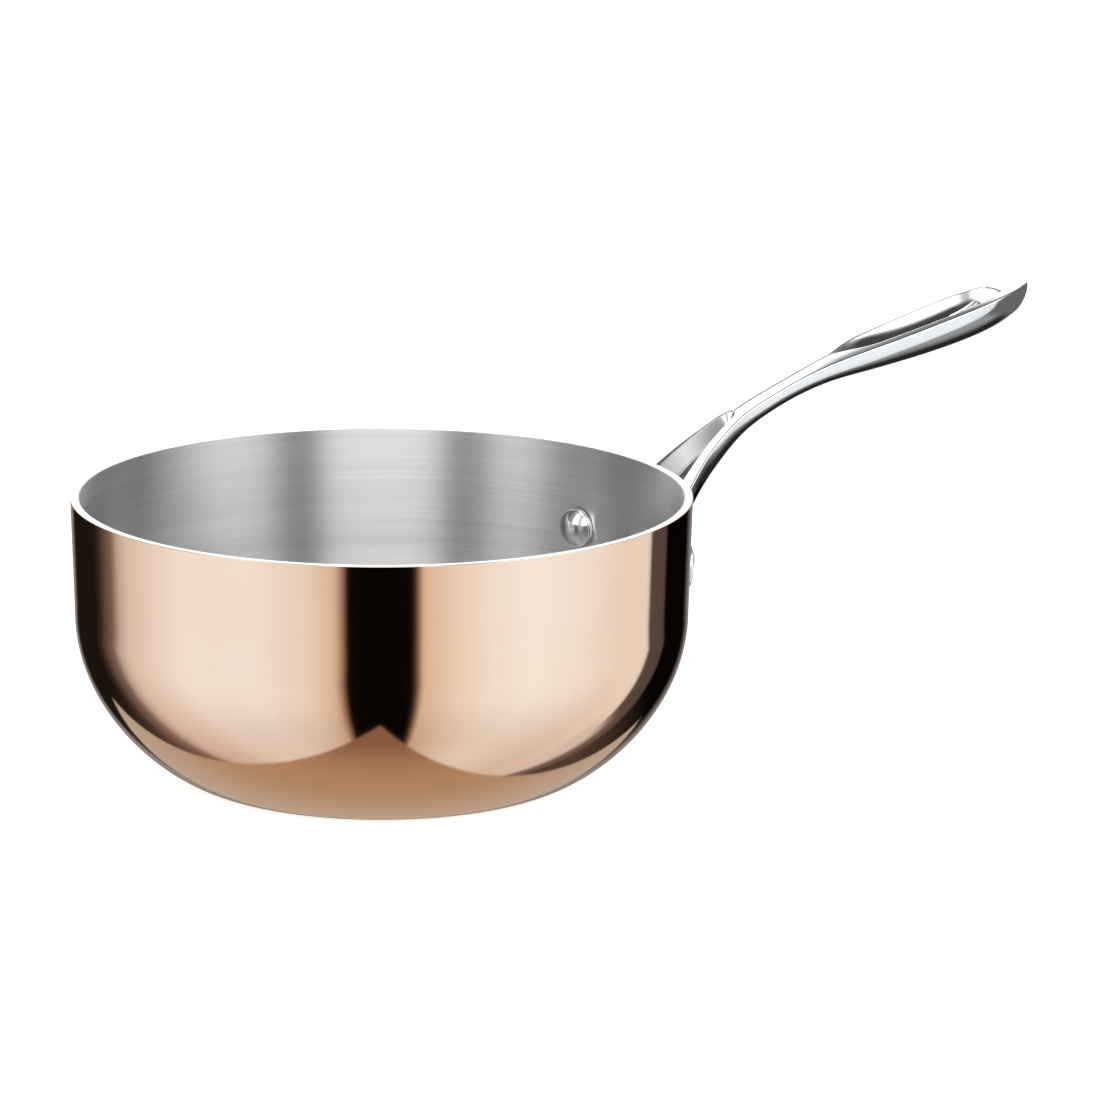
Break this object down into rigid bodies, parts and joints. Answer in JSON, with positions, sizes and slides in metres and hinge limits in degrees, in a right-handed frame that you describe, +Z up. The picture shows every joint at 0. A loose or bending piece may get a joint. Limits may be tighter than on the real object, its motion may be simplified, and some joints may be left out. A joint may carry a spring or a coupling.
{
  "type": "saucepan",
  "caption": "Open saucepan with a rounded base: a mirror-polished copper outside over a core and brushed steel inside, with a long riveted cast handle.",
  "frame": {"origin": "centre of the flat underside of the base, on the pan's axis", "axes": "+Z up along the pan's axis, +X out along the handle"},
  "size_m": [0.3673, 0.2058, 0.1397],
  "materials": {
    "copper": "mirror-polished copper",
    "core": "bonded core, seen only as a line at the rim",
    "liner": "stainless steel brushed round the bowl",
    "handle": "polished cast stainless steel",
    "rivets": "polished stainless steel"
  },
  "bodies": {
    "root": {"outer_copper_shell": "copper", "aluminium_core": "core", "steel_liner": "liner", "handle": "handle", "rivet_left": "rivets", "rivet_right": "rivets"}
  },
  "joints": []
}
